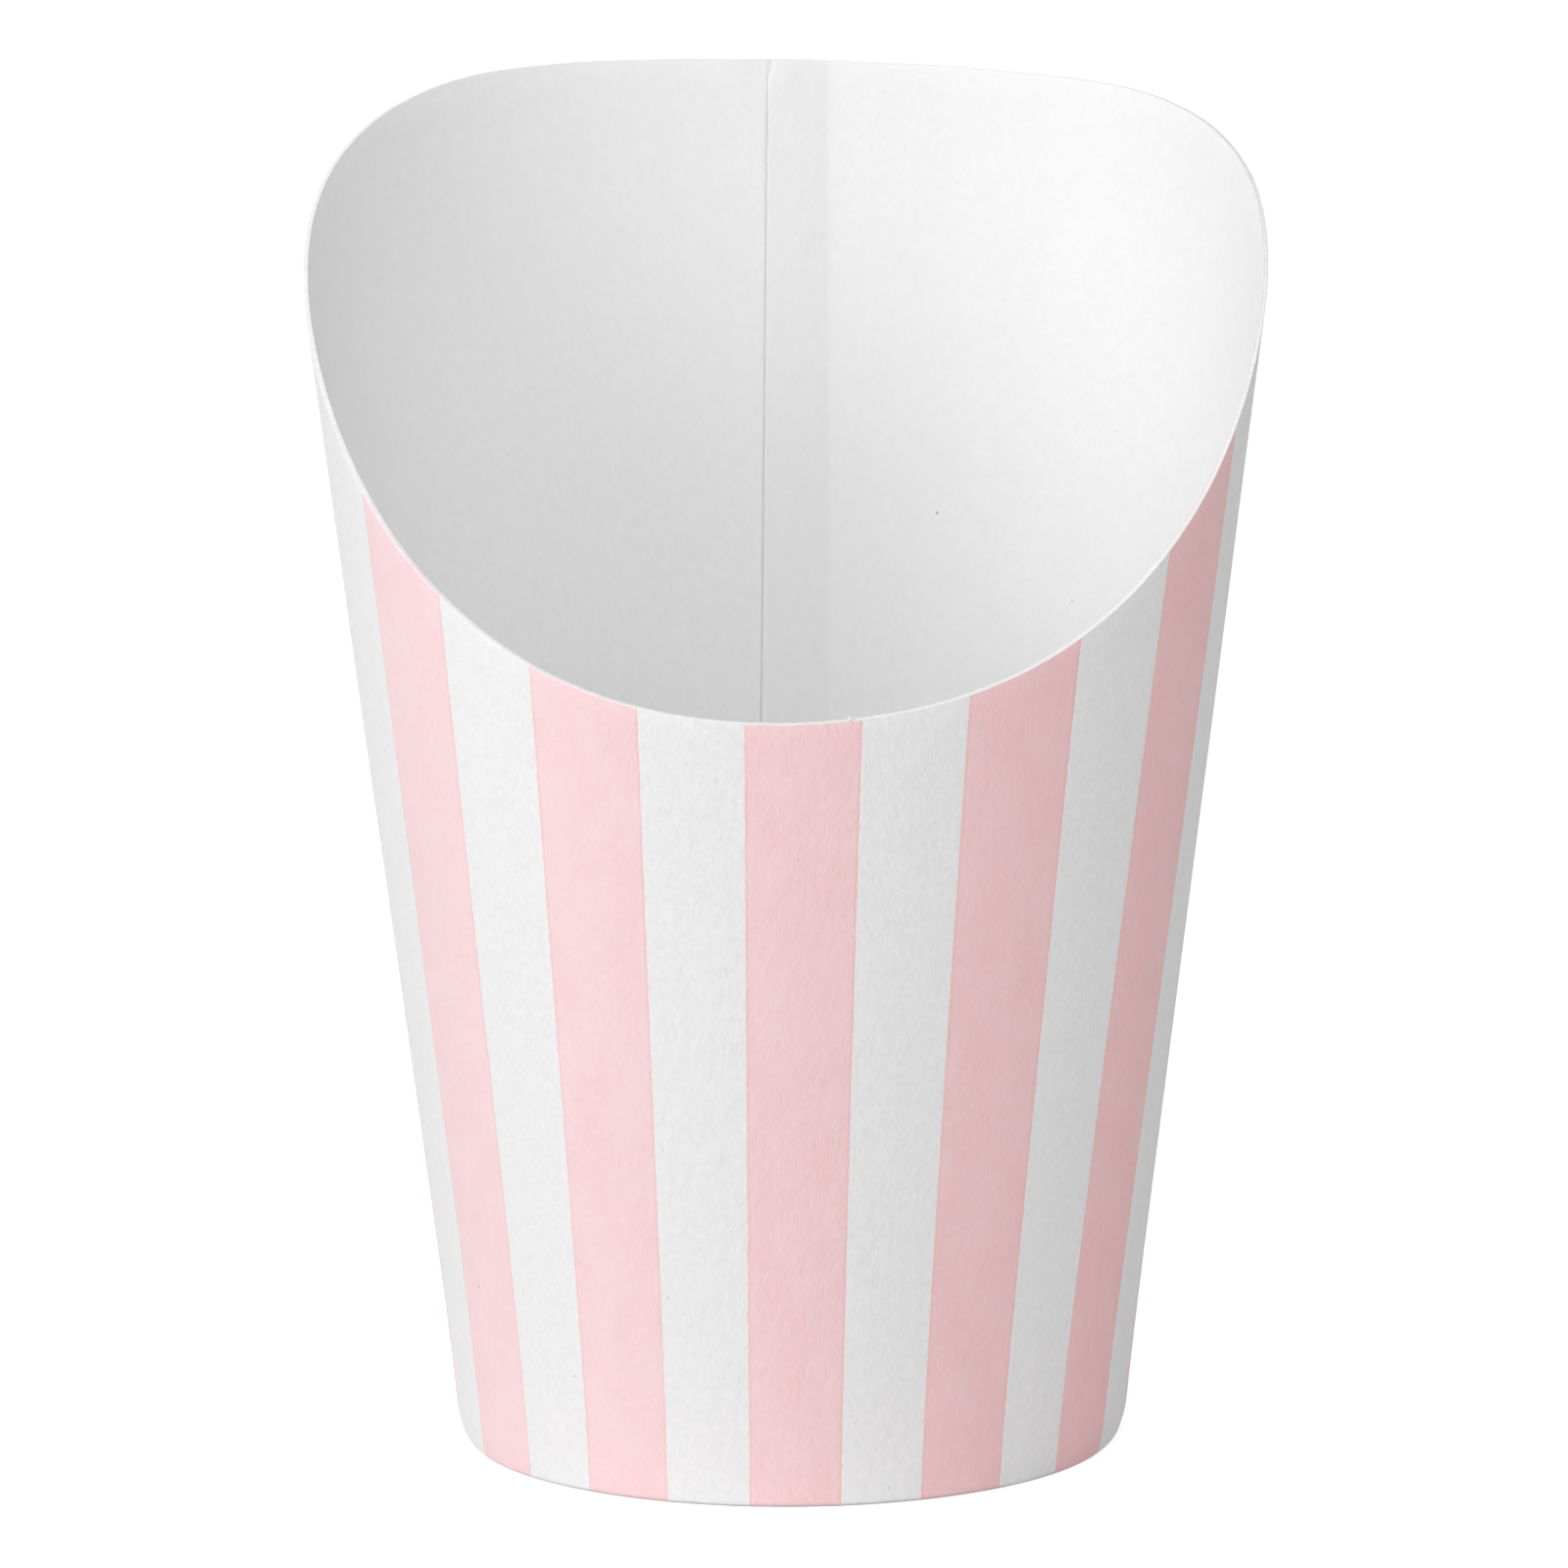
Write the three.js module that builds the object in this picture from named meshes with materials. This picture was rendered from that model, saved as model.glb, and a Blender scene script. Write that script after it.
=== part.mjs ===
// A round paper scoop cup for chips: a low lip to pour and pick from, and a tall back.
// It is made as paper cups are. The side wall is one sheet of board, rolled to a cone, glued
// in a lap at the back and folded in at the foot. The base is a disc of board with its rim
// turned down into that fold. The outside is printed in stripes and the inside is plain.
//
// Millimetres and degrees, +Z up. Angles go round the cup from the low lip at -Y towards +X,
// so the lap is at 180. Radii and heights are those of the wall's printed face.

import * as THREE from "three";

// Board
const WALL_BOARD = 0.45; // thickness of the side wall's sheet
const BASE_BOARD = 0.45; // thickness of the base's disc
const GLUE_FILM = 0.05; // between the two layers of the lap
const SEAT_GAP = 0.1; // between the base's rim and the board on each side of it

// Cone and scoop
const FOOT_RADIUS = 30; // at the surface the cup stands on
const MOUTH_RADIUS = 45.4; // at the top of the back
const LIP_HEIGHT = 74.5; // lowest point of the cut edge, at the front
const BACK_HEIGHT = 118.5; // highest part of the cut edge
const BACK_EDGE_FROM = 142; // angle where the cut edge levels off at the back
const LIP_PULL = 71; // how far round the lip holds the cut edge down, in degrees
const BACK_PULL = 58; // how far round the back holds it up, in degrees

// Foot
const HEM_HEIGHT = 5.6; // top of the folded-in hem
const FOOT_FLAT = 0.35; // flat strip under the fold, which the cup stands on
const BASE_BEND = 0.9; // radius of the base's bend, outside

// Lap
const LAP_TURN = 1.2; // the lap's middle, past straight behind the lip
const LAP_WIDTH = 5.8;
const LAP_STEP = 1.2; // how far from the lap its layers close up again
const LAP_CORNER = 1.8; // radius of each flap's top corner

// Print
const STRIPES = 12;
const STRIPE_SHARE = 0.53; // of the pitch that is inked
const STRIPE_TURN = 2.3; // the first stripe's middle, past the middle of the lip

// Facets
const STRIPE_FACETS = 6; // across a stripe, and across the bare board beside it
const LAP_FACETS = 3;
const CORNER_FACETS = 4;
const BEND_FACETS = 3;
const BASE_FACETS = 96;
const SCOOP_POINTS = 400; // along the cut edge's curve
const LEAST_STEP = 1; // between the lap and the next facet, in degrees

const LEAN = Math.atan2(MOUTH_RADIUS - FOOT_RADIUS, BACK_HEIGHT);
const LAP_LAYER = WALL_BOARD + GLUE_FILM;
const STRIPE_PITCH = 360 / STRIPES;

const BARE_BOARD = new THREE.MeshStandardMaterial({
  name: "bare_board",
  color: "#f1efec",
  roughness: 0.85,
  metalness: 0,
});
const INK = new THREE.MeshStandardMaterial({
  name: "ink",
  color: "#f3d0d2",
  roughness: 0.7,
  metalness: 0,
});

// Cone

function wallRadius(height) {
  return FOOT_RADIUS + height * Math.tan(LEAN);
}

// The wall's printed face, moved in towards the axis by a depth measured square to the board
function insideRadius(height, depth) {
  return wallRadius(height) - depth / Math.cos(LEAN);
}

function onCup(angle, radius, height) {
  const turn = THREE.MathUtils.degToRad(angle);
  return [radius * Math.sin(turn), -radius * Math.cos(turn), height];
}

// The cut edge: half of the scoop as a curve of height over angle

const SCOOP = new THREE.CubicBezierCurve(
  new THREE.Vector2(0, LIP_HEIGHT),
  new THREE.Vector2(LIP_PULL, LIP_HEIGHT),
  new THREE.Vector2(BACK_EDGE_FROM - BACK_PULL, BACK_HEIGHT),
  new THREE.Vector2(BACK_EDGE_FROM, BACK_HEIGHT),
).getPoints(SCOOP_POINTS);

function scoopHeight(angle) {
  const fromLip = Math.abs(THREE.MathUtils.euclideanModulo(angle + 180, 360) - 180);
  const next = SCOOP.findIndex((point) => point.x > fromLip);
  if (next < 1) return BACK_HEIGHT;
  const low = SCOOP[next - 1];
  const high = SCOOP[next];
  return THREE.MathUtils.mapLinear(fromLip, low.x, high.x, low.y, high.y);
}

// Sections of folded board, as points of radius and height

// The board lies on the right of the way the corners run
function rightOf(from, to) {
  const way = to.clone().sub(from).normalize();
  return new THREE.Vector2(way.y, -way.x);
}

function offsetCorners(corners, depth) {
  return corners.map((corner, i) => {
    const before = rightOf(corners[Math.max(i - 1, 0)], corners[Math.max(i, 1)]);
    const last = corners.length - 1;
    const after = rightOf(corners[Math.min(i, last - 1)], corners[Math.min(i + 1, last)]);
    const mitre = before.clone().add(after);
    return corner.clone().addScaledVector(mitre, depth / (1 + before.dot(after)));
  });
}

function bentCorner(before, corner, after, radius) {
  const side = rightOf(before, corner);
  const nextSide = rightOf(corner, after);
  const turn = Math.acos(side.dot(nextSide));
  const way = corner.clone().sub(before).normalize();
  const start = corner.clone().addScaledVector(way, -radius * Math.tan(turn / 2));
  const centre = start.clone().addScaledVector(side, radius);
  const arc = [];
  for (let i = 0; i <= BEND_FACETS; i++) {
    arc.push(start.clone().rotateAround(centre, (-turn * i) / BEND_FACETS));
  }
  return arc;
}

function bentFace(corners, radius) {
  const inner = corners.slice(1, -1);
  return [
    corners[0],
    ...inner.flatMap((corner, i) => bentCorner(corners[i], corner, corners[i + 2], radius)),
    corners[corners.length - 1],
  ];
}

// Both faces of a board folded along the corners, point for point. A bend tighter than the
// board is thick has a sharp inside corner.
function boardFaces(corners, bendRadius, thickness) {
  return {
    outer: bentFace(corners, bendRadius),
    inner: bentFace(offsetCorners(corners, thickness), Math.max(bendRadius - thickness, 0)),
  };
}

// Base: a disc that rests on the hem, with its rim turned down between the hem and the wall

const SKIRT_DEPTH = WALL_BOARD + SEAT_GAP; // from the wall's printed face
const SKIRT_FOOT = WALL_BOARD + LAP_LAYER + SEAT_GAP; // clear of both layers of the lap's fold
const BASE_TOP = HEM_HEIGHT + SEAT_GAP + BASE_BEND;

function baseDisc() {
  const corners = [
    new THREE.Vector2(0, BASE_TOP),
    new THREE.Vector2(insideRadius(BASE_TOP, SKIRT_DEPTH), BASE_TOP),
    new THREE.Vector2(insideRadius(SKIRT_FOOT, SKIRT_DEPTH), SKIRT_FOOT),
  ];
  const { outer, inner } = boardFaces(corners, BASE_BEND, BASE_BOARD);
  const geometry = new THREE.LatheGeometry([...inner, ...outer.reverse()], BASE_FACETS);
  geometry.rotateX(Math.PI / 2);
  const mesh = new THREE.Mesh(geometry, BARE_BOARD);
  mesh.name = "base_disc";
  return mesh;
}

// Side wall: columns along the sheet, from the flap under the lap round to the flap over it

const FOLD_WIDTH = 2 * WALL_BOARD + BASE_BOARD + 2 * SEAT_GAP; // wall, base's rim and hem
const FOLD_BEND = (FOLD_WIDTH - FOOT_FLAT) / 2; // radius of the fold's two outside bends

// The sheet's section where its layers stand out from the cone, or off the ground, by a lift
function wallSection(rimHeight, wallLift, footLift) {
  const hemDepth = FOLD_WIDTH + wallLift;
  const corners = [
    new THREE.Vector2(insideRadius(rimHeight, -wallLift), rimHeight),
    new THREE.Vector2(insideRadius(footLift, -wallLift), footLift),
    new THREE.Vector2(insideRadius(footLift, hemDepth), footLift),
    new THREE.Vector2(insideRadius(HEM_HEIGHT, hemDepth), HEM_HEIGHT),
  ];
  return boardFaces(corners, FOLD_BEND, WALL_BOARD);
}

// Places across the lap, close together in each flap's rounded corner
function lapPlaces() {
  const flat = LAP_WIDTH / 2 - LAP_CORNER;
  const places = [];
  for (let i = 0; i <= CORNER_FACETS; i++) {
    const turn = (Math.PI / 2) * (i / CORNER_FACETS);
    places.push(-flat - LAP_CORNER * Math.cos(turn));
  }
  for (let i = 1; i < LAP_FACETS; i++) {
    places.push(THREE.MathUtils.lerp(-flat, flat, i / LAP_FACETS));
  }
  return [...places, ...places.slice(0, CORNER_FACETS + 1).map((place) => -place).reverse()];
}

// How far a flap's top corner is rounded down, at a distance in from the flap's edge
function cornerDrop(fromEdge) {
  const across = Math.max(LAP_CORNER - fromEdge, 0);
  return LAP_CORNER - Math.sqrt(LAP_CORNER ** 2 - across ** 2);
}

// A column holds its angle, its distance from the lap's middle line and the lifts there
function lapColumn(turns, place, changes) {
  return { angle: 180 + LAP_TURN - 360 * turns, place, drop: 0, wallLift: 0, footLift: 0, ...changes };
}

function underFlap() {
  const edge = LAP_WIDTH / 2;
  const flap = lapPlaces().map((place) =>
    lapColumn(0, -place, { drop: cornerDrop(edge + place), footLift: LAP_LAYER }),
  );
  return [...flap, lapColumn(0, -edge - LAP_STEP, {})];
}

function overFlap() {
  const edge = LAP_WIDTH / 2;
  const flap = lapPlaces().map((place) =>
    lapColumn(1, -place, { drop: cornerDrop(edge - place), wallLift: LAP_LAYER }),
  );
  return [lapColumn(1, edge + LAP_STEP, {}), ...flap];
}

// Angles of the facets' edges round the sheet, each stripe and each gap in equal steps
function stripeAngles() {
  const angles = [];
  for (let stripe = 0; stripe < STRIPES; stripe++) {
    const start = STRIPE_TURN + STRIPE_PITCH * (stripe - STRIPE_SHARE / 2);
    for (let i = 0; i < STRIPE_FACETS; i++) {
      const step = i / STRIPE_FACETS;
      angles.push(start + STRIPE_PITCH * STRIPE_SHARE * step);
      angles.push(start + STRIPE_PITCH * (STRIPE_SHARE + (1 - STRIPE_SHARE) * step));
    }
  }
  return angles;
}

// Between the flaps the columns run straight up the cone, clear of the lap at the narrow foot
function openColumns() {
  const reach = THREE.MathUtils.radToDeg((LAP_WIDTH / 2 + LAP_STEP) / insideRadius(0, FOLD_WIDTH));
  const first = 180 + LAP_TURN - reach;
  const last = first - 360 + 2 * reach;
  return stripeAngles()
    .map((angle) => first - THREE.MathUtils.euclideanModulo(first - angle, 360))
    .filter((angle) => angle < first - LEAST_STEP && angle > last + LEAST_STEP)
    .sort((a, b) => b - a)
    .map((angle) => ({ angle, place: 0, drop: 0, wallLift: 0, footLift: 0 }));
}

function columnPoints(column) {
  const rimHeight = scoopHeight(angleAt(column, MOUTH_RADIUS)) - column.drop;
  const { outer, inner } = wallSection(rimHeight, column.wallLift, column.footLift);
  return [...outer, ...inner.reverse()].map((point) =>
    onCup(angleAt(column, point.x), point.x, point.y),
  );
}

function angleAt(column, radius) {
  return column.angle + THREE.MathUtils.radToDeg(column.place / radius);
}

function isInked(angle) {
  const fromMiddle = THREE.MathUtils.euclideanModulo(angle - STRIPE_TURN, STRIPE_PITCH);
  return Math.min(fromMiddle, STRIPE_PITCH - fromMiddle) < (STRIPE_PITCH * STRIPE_SHARE) / 2;
}

// Skins the columns' outlines, which run from the rim down the printed face and back up inside
function sheetGeometry(columns) {
  const outlines = columns.map(columnPoints);
  const around = outlines[0].length;
  const bare = [];
  const inked = [];
  const quad = (list, a, b, c, d) => list.push(a, b, c, a, c, d);
  for (let c = 0; c + 1 < columns.length; c++) {
    const middle = (angleAt(columns[c], MOUTH_RADIUS) + angleAt(columns[c + 1], MOUTH_RADIUS)) / 2;
    for (let i = 0; i < around; i++) {
      const isPrintFace = i + 1 < around / 2;
      const next = (i + 1) % around;
      const here = c * around;
      const beside = here + around;
      const list = isPrintFace && isInked(middle) ? inked : bare;
      quad(list, here + i, beside + i, beside + next, here + next);
    }
  }
  const last = (columns.length - 1) * around;
  for (let i = 0; i + 1 < around / 2; i++) {
    const back = around - 1 - i;
    quad(bare, i, i + 1, back - 1, back);
    quad(bare, last + back, last + back - 1, last + i + 1, last + i);
  }
  const geometry = new THREE.BufferGeometry();
  geometry.setAttribute("position", new THREE.Float32BufferAttribute(outlines.flat(2), 3));
  geometry.setIndex([...bare, ...inked]);
  geometry.addGroup(0, bare.length, 0);
  geometry.addGroup(bare.length, inked.length, 1);
  geometry.computeVertexNormals();
  return geometry;
}

function sideWall() {
  const columns = [...underFlap(), ...openColumns(), ...overFlap()];
  const mesh = new THREE.Mesh(sheetGeometry(columns), [BARE_BOARD, INK]);
  mesh.name = "side_wall";
  return mesh;
}

// The cup stands on Z = 0, with the middle of its outline on the Z axis
const cup = new THREE.Group();
cup.add(sideWall(), baseDisc());
const outline = new THREE.Box3().setFromObject(cup);
cup.position.y = -outline.getCenter(new THREE.Vector3()).y;

export default cup;
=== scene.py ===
import math

import bmesh
import bpy
from mathutils import Matrix, Vector, noise


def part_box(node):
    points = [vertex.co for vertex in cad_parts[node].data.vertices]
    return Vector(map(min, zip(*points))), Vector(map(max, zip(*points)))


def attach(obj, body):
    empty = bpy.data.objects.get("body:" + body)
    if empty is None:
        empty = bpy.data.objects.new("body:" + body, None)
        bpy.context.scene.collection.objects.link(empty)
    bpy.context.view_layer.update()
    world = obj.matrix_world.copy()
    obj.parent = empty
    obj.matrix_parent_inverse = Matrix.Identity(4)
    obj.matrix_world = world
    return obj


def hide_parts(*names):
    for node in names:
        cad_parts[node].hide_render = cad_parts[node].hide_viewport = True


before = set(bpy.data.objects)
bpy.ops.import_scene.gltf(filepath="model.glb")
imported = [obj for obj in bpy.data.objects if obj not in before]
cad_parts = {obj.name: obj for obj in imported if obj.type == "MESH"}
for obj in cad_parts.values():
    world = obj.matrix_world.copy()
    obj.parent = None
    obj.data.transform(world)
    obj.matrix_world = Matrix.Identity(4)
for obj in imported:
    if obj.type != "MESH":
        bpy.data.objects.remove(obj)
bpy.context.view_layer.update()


# Camera
# A long lens, a little above the table and a little to the right of the lip. The cup stands on
# Z = 0 with its low lip towards -Y. Lengths here are millimetres, and degrees go round the cup
# from the lip towards +X, so the lap at the back is near 180.

MM = 0.001
disc_low, disc_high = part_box("base_disc")
CUP_AXIS = Vector(((disc_low.x + disc_high.x) / 2, (disc_low.y + disc_high.y) / 2, 0))

CAMERA_ELEVATION = 12.3753
CAMERA_TURN = 2.105
CAMERA_ROLL = -0.306
CAMERA_DISTANCE = 2500
CAMERA_AIM = Vector((-0.5089, 0, 60.1748))
LENS_PER_WIDTH = 28070 / 1600  # focal length over picture width
SENSOR = 36
FARTHEST_SEEN = 100  # metres


def camera_place():
    rise = math.radians(CAMERA_ELEVATION)
    back = Vector((0, -math.cos(rise), math.sin(rise)))
    right = Vector((1, 0, 0))
    up = back.cross(right)
    turn = Matrix.Rotation(math.radians(CAMERA_TURN), 4, "Z")
    axes = Matrix((right, up, back)).transposed().to_4x4()
    roll = Matrix.Rotation(math.radians(CAMERA_ROLL), 4, "Z")
    place = Matrix.Translation((CAMERA_AIM + back * CAMERA_DISTANCE) * MM)
    return Matrix.Translation(CUP_AXIS) @ turn @ place @ axes @ roll


lens = bpy.data.cameras.new("camera")
lens.sensor_width = SENSOR
lens.lens = LENS_PER_WIDTH * SENSOR
lens.clip_end = FARTHEST_SEEN
camera = bpy.data.objects.new("camera", lens)
camera.matrix_world = camera_place()
bpy.context.scene.collection.objects.link(camera)
bpy.context.scene.camera = camera
bpy.context.scene.view_settings.view_transform = "Standard"


# Table and lamps
# A white table top that runs out of sight, lit by large soft boxes from the front, above and
# behind. Those on the left are the brighter ones, and the white room adds a little from all round.

TABLE_HALF = 4.0
SOFT_BOXES = [  # azimuth, elevation, distance in metres, side in metres, watts
    (-60, 30, 1.2, 0.9, 9.3),
    (0, 35, 1.2, 0.9, 4.8),
    (60, 30, 1.2, 0.9, 3.4),
    (0, 65, 1.2, 0.9, 0.6),
    (180, 50, 1.2, 0.9, 2.6),
]
BOXES_FACE = Vector((0, 0, 0.06))  # the middle of the cup, in metres
ROOM_LIGHT = 0.08


def soft_box(azimuth, elevation, distance, side, watts):
    turn, rise = math.radians(azimuth), math.radians(elevation)
    way = Vector((math.sin(turn) * math.cos(rise), -math.cos(turn) * math.cos(rise), math.sin(rise)))
    light = bpy.data.lights.new("soft_box", "AREA")
    light.shape = "SQUARE"
    light.size = side
    light.energy = watts
    lamp = bpy.data.objects.new("soft_box", light)
    lamp.location = way * distance + BOXES_FACE
    lamp.rotation_euler = way.to_track_quat("Z", "Y").to_euler()
    bpy.context.scene.collection.objects.link(lamp)


for box in SOFT_BOXES:
    soft_box(*box)


def seen_directly(tree):
    """1 where the camera looks, straight or by way of gloss or glass, and 0 for other light."""
    path = tree.nodes.new("ShaderNodeLightPath")
    seen = path.outputs["Is Camera Ray"]
    for kind in ("Is Glossy Ray", "Is Transmission Ray"):
        either = tree.nodes.new("ShaderNodeMath")
        either.operation = "MAXIMUM"
        tree.links.new(seen, either.inputs[0])
        tree.links.new(path.outputs[kind], either.inputs[1])
        seen = either.outputs[0]
    return seen


room = bpy.data.worlds.new("room")
room.use_nodes = True
room_tree = room.node_tree
background = room_tree.nodes["Background"]
background.inputs["Color"].default_value = (1, 1, 1, 1)
strength = room_tree.nodes.new("ShaderNodeMapRange")
strength.inputs["To Min"].default_value = ROOM_LIGHT
strength.inputs["To Max"].default_value = 1
room_tree.links.new(seen_directly(room_tree), strength.inputs["Value"])
room_tree.links.new(strength.outputs[0], background.inputs["Strength"])
bpy.context.scene.world = room

TABLE_WHITE = 0.8
TABLE_LIFT = 0.65  # added where the table is seen, so that it is white where nothing shades it


def table_finish():
    """White paint that takes the cup's shadow, with a glow of its own where it is looked at."""
    finish = bpy.data.materials.new("table_white")
    finish.use_nodes = True
    tree = finish.node_tree
    tree.nodes.clear()
    paint = tree.nodes.new("ShaderNodeBsdfDiffuse")
    paint.inputs["Color"].default_value = (TABLE_WHITE, TABLE_WHITE, TABLE_WHITE, 1)
    glow = tree.nodes.new("ShaderNodeEmission")
    lift = tree.nodes.new("ShaderNodeMath")
    lift.operation = "MULTIPLY"
    lift.inputs[1].default_value = TABLE_LIFT
    both = tree.nodes.new("ShaderNodeAddShader")
    out = tree.nodes.new("ShaderNodeOutputMaterial")
    tree.links.new(seen_directly(tree), lift.inputs[0])
    tree.links.new(lift.outputs[0], glow.inputs["Strength"])
    tree.links.new(paint.outputs[0], both.inputs[0])
    tree.links.new(glow.outputs[0], both.inputs[1])
    tree.links.new(both.outputs[0], out.inputs["Surface"])
    return finish


def mesh_piece(name, points, faces, finishes, face_finish=None):
    """A piece from its points and faces, with the number of each face's finish in the list."""
    mesh = bpy.data.meshes.new(name)
    mesh.from_pydata(points, [], faces)
    for finish in finishes:
        mesh.materials.append(finish)
    if face_finish:
        mesh.polygons.foreach_set("material_index", face_finish)
    mesh.validate()
    piece = bpy.data.objects.new(name, mesh)
    bpy.context.scene.collection.objects.link(piece)
    return piece


table_corners = [(x * TABLE_HALF, y * TABLE_HALF, 0) for x, y in ((-1, -1), (1, -1), (1, 1), (-1, 1))]
table = mesh_piece("table", table_corners, [(0, 1, 2, 3)], [table_finish()])


# Side wall
# One sheet of white cup board, printed in stripes on its outer face. It is rolled to a cone,
# glued in a lap at the tall back, die-cut to a scoop, and folded in and up at the foot.

BOARD = 0.45
SEAT_GAP = 0.1  # between the base's rim and the board on each side of it
FOOT_RADIUS = 30
MOUTH_RADIUS = 45.4
BACK_HEIGHT = 118.5
LIP_HEIGHT = 74.5
BACK_EDGE_FROM = 142  # the cut edge is level from here round the back
LIP_PULL = 71  # how long the cut edge's curve keeps level, from the lip
BACK_PULL = 58  # and from the back
# This cup's cut edge is not quite true: the cosine and sine share of each wave round the edge
CUT_WAVES = [(0.045, -0.828), (-0.003, -0.056), (-0.637, -0.248), (-0.026, 0.178), (0.274, 0.111)]
HEM_HEIGHT = 5.6
FOOT_FLAT = 0.35
FOLD_WIDTH = 3 * BOARD + 2 * SEAT_GAP
FOLD_BEND = (FOLD_WIDTH - FOOT_FLAT) / 2
LEAN = math.atan2(MOUTH_RADIUS - FOOT_RADIUS, BACK_HEIGHT)

LAP_MIDDLE = 180.63
LAP_HALF = 3
LAP_CORNER = 1.8  # radius of each flap's top corner
LAP_LIFT = 0.48  # how far the outer flap stands out over the inner one
LAP_RAMP = (3.32, 2.62)  # where it starts and ends its way out, from the lap's middle
LOOSE_TOP = 2.4  # above the inner flap's rounded corner the step out is soft over this much
LOOSE_STEP = 3  # and reaches this much further round at the top
CRUSHED_EDGE = 0.14  # radius of a flap's pressed edge
GLUE_FILM = 0.03  # between the crushed edge and the outer flap's step
LAP_FLAT = 0.85  # how flat the stiff double board stays, from 0 round to 1 flat
FLAT_FADE = 9  # and how far past the lap it is flattened
FOLD_FADE = 1.2  # how far past the lap the fold comes down to the table again

# How finely the sheet is cut: rows go down it, and columns go round the cup
WALL_ROWS = 44
FOOT_ROWS = 17  # more rows at the foot
FOOT_ROWS_UP_WALL = 300  # how many of those would fill the wall
BEND_ROWS = 7
HEM_ROWS = 5
COLUMN_STEP = 1.05  # degrees
BESIDE_LAP = 24  # columns on each side of the lap
UNDER_STEP = 0.5  # between those by the under flap
OVER_STEP = 0.35  # and by the over flap
LAP_COLUMNS_END = (13, 9)  # the open wall's even columns start this far from the lap
RAMP_COLUMNS = 12
EDGE_COLUMNS = 4  # in a flap's pressed edge
CORNER_COLUMNS = 10  # in its rounded corner
FLAP_COLUMNS = 12  # in the rest of it


def wall_radius(height):
    return FOOT_RADIUS + height * math.tan(LEAN)


def smooth(x):
    x = min(max(x, 0), 1)
    return x * x * (3 - 2 * x)


def waves(shares, first, angle):
    """Waves round the cup, added up: the first has so many rounds, and each next one more."""
    turn = math.radians(angle)
    rounds = enumerate(shares, first)
    return sum(cos * math.cos(n * turn) + sin * math.sin(n * turn) for n, (cos, sin) in rounds)


def scoop_height(angle):
    """Height of the cut edge: level at the lip and the back, with one smooth curve between."""
    from_lip = abs((angle + 180) % 360 - 180)
    untrue = waves(CUT_WAVES, 1, angle)
    if from_lip >= BACK_EDGE_FROM:
        return BACK_HEIGHT + untrue
    first, last = 0, 1
    for _ in range(40):
        t = (first + last) / 2
        s = 1 - t
        turn = 3 * LIP_PULL * t * s * s + 3 * (BACK_EDGE_FROM - BACK_PULL) * t * t * s
        if turn + BACK_EDGE_FROM * t ** 3 < from_lip:
            first = t
        else:
            last = t
    return LIP_HEIGHT + (BACK_HEIGHT - LIP_HEIGHT) * smooth(t) + untrue


# The small tabs that held the blank in its sheet leave burrs: angle or height, and size
CUT_BURR = (10.25, 0.24, 0.2)  # angle, how proud, half width
CUT_NICK = (0.42, 0.1, 0.16)  # beside the burr: how far to its right, how deep, half width
FLAP_BURRS = [(109.74, 0.16, 0.2), (63.79, 0.12, 0.2)]  # height, how proud, half width
BURR_REACH = 0.5  # how far in from the flap's edge they pull the board
CUT_WANDER = [(0.045, 9, 3.1), (0.02, 1.3, 8.2)]  # how far, over what length, and the seed


def burr(away, proud, half_width):
    return proud * math.exp(-((away / half_width) ** 2))


def cut_height(angle):
    height = scoop_height(angle)
    along = math.radians(angle) * wall_radius(height)
    wander = sum(far * noise.noise((along / length, seed, 0)) for far, length, seed in CUT_WANDER)
    away = math.radians(angle - CUT_BURR[0]) * wall_radius(height)
    return height + wander + burr(away, *CUT_BURR[1:]) - burr(away - CUT_NICK[0], *CUT_NICK[1:])


# A column of the sheet: its angle, its distance from there along the board, how far it stands
# out of the cone, how far its fold is off the table, how far its top corner is cut down, how
# far its inner or outer face is pressed back, how near a flap's free edge it is, from 0 to 1,
# and whether it is by the outer flap
def column(angle, place=0, out=0, foot=0, drop=0, inner_press=0, outer_press=0, edge=0, outer=0):
    return dict(
        angle=angle, place=place, out=out, foot=foot, drop=drop,
        inner_press=inner_press, outer_press=outer_press, edge=edge, outer=outer,
    )


def lap_bulge(place):
    """The double board stays nearly flat, so its far side stands out, and fades into the cone."""
    widest = (2 * LAP_HALF) ** 2 / (2 * MOUTH_RADIUS)
    if place > LAP_HALF:
        return 0
    if place > -LAP_HALF:
        return LAP_FLAT * (LAP_HALF - place) ** 2 / (2 * MOUTH_RADIUS)
    return LAP_FLAT * widest * (1 - min((-LAP_HALF - place) / FLAT_FADE, 1)) ** 2


def corner_drop(from_edge):
    """How far the rounded corner is cut down, this far in from a flap's free edge."""
    across = max(LAP_CORNER - from_edge, 0)
    return LAP_CORNER - math.sqrt(LAP_CORNER ** 2 - across ** 2)


def pressed(from_edge):
    """How far a face is pressed back, this far in from a flap's free edge."""
    across = max(CRUSHED_EDGE - from_edge, 0)
    return CRUSHED_EDGE - math.sqrt(CRUSHED_EDGE ** 2 - across ** 2)


def step_out(place, start=LAP_RAMP[0]):
    """How far the outer flap has come out at this place, to clear the inner one."""
    return LAP_LIFT * smooth((start - place) / (start - LAP_RAMP[1]))


def wedged(place):
    """The sealing tool crushes the inner flap's edge to a wedge, which fills the step."""
    return max(BOARD + GLUE_FILM - step_out(place), 0)


def at_edge(from_edge):
    return smooth(1 - from_edge / BURR_REACH)


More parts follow.
